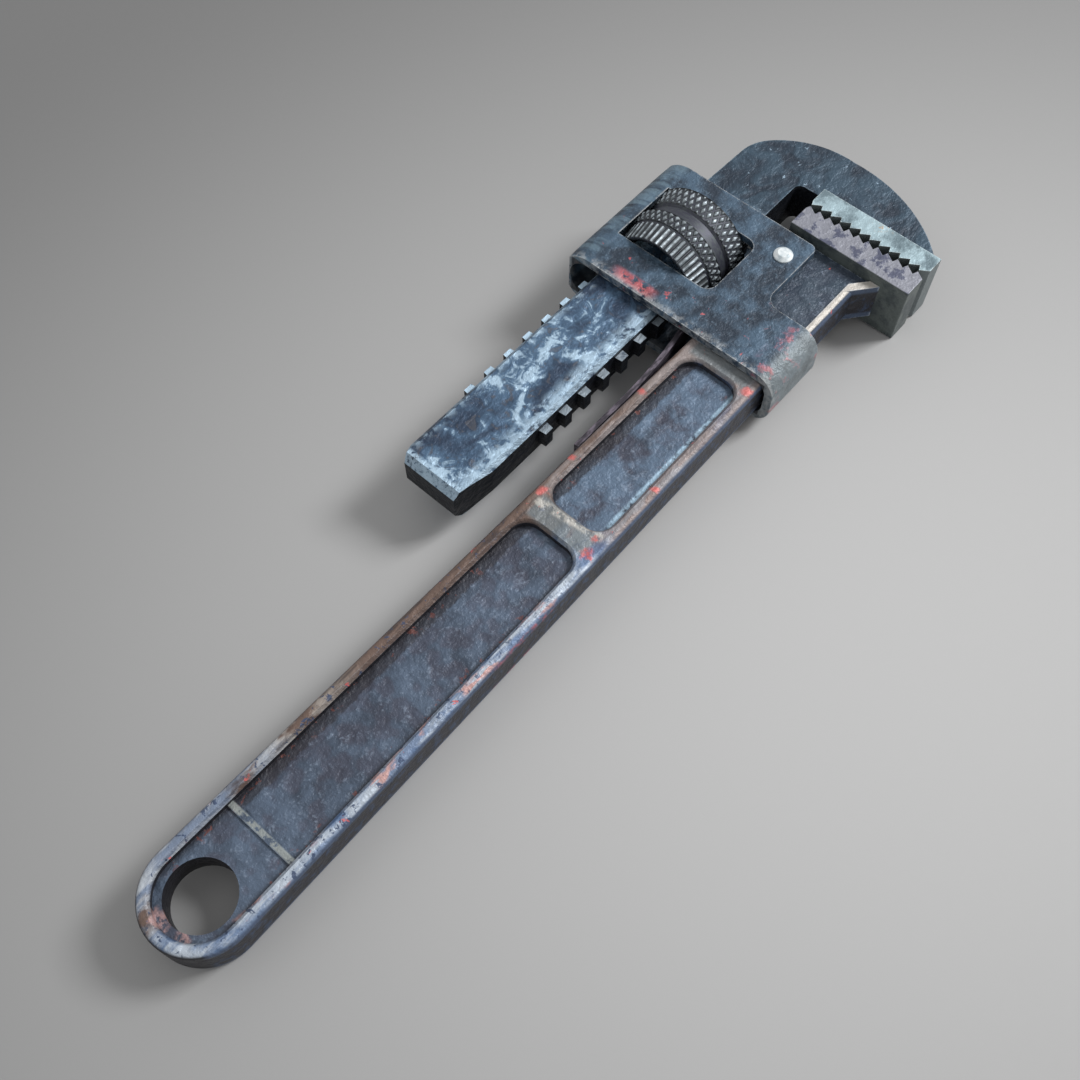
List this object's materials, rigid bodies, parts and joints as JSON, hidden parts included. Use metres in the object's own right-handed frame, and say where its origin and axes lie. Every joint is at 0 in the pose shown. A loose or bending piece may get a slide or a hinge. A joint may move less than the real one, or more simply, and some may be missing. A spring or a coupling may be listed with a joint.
{
  "type": "pipe wrench",
  "caption": "Adjustable hand wrench with a toothed sliding hook jaw, a fixed heel jaw and a knurled nut, for gripping and turning round pipe.",
  "frame": {"origin": "centre of the hang hole, on the middle plane of the handle", "axes": "+X up the handle to the jaws, +Y towards the hook jaw's shank, +Z a face of the tool"},
  "size_m": [0.3369, 0.0981, 0.0376],
  "materials": {
    "handle_iron": "worn cast iron, rims rubbed bright",
    "heel_steel": "worn hardened steel",
    "hook_steel": "worn dark forged steel",
    "insert_steel": "worn pale hardened steel",
    "nut_steel": "bright knurled steel",
    "housing_iron": "worn painted casting",
    "rivet_steel": "bright rivet steel",
    "spring_steel": "dark blued spring steel"
  },
  "bodies": {
    "handle": {"handle": "handle_iron", "heel_jaw": "heel_steel", "heel_jaw_pin": "rivet_steel", "leaf_spring": "spring_steel", "spring_rivets": "rivet_steel"},
    "housing": {"housing": "housing_iron", "pivot_pin": "rivet_steel"},
    "hook_jaw": {"hook_jaw": "hook_steel", "hook_jaw_insert": "insert_steel", "hook_insert_rivets": "rivet_steel"},
    "nut": {"adjusting_nut": "nut_steel"}
  },
  "joints": [
    {"name": "housing_pivot", "type": "hinge", "parent": "handle", "child": "housing", "pos_m": [0.267, 0.0105, 0], "axis": [0, 0, 1], "range_deg": [0, 3]},
    {"name": "jaw_slide", "type": "slide", "parent": "housing", "child": "hook_jaw", "axis": [1, 0, 0], "range_m": [0, 0.05]},
    {"name": "nut_turn", "type": "hinge", "parent": "housing", "child": "nut", "pos_m": [0.25, 0.0417, 0], "axis": [-1, 0, 0], "range_deg": [0, 1936]}
  ],
  "couplings": [
    {"joint": "nut_turn", "follows": "jaw_slide", "rad_per_m": 675.6}
  ]
}
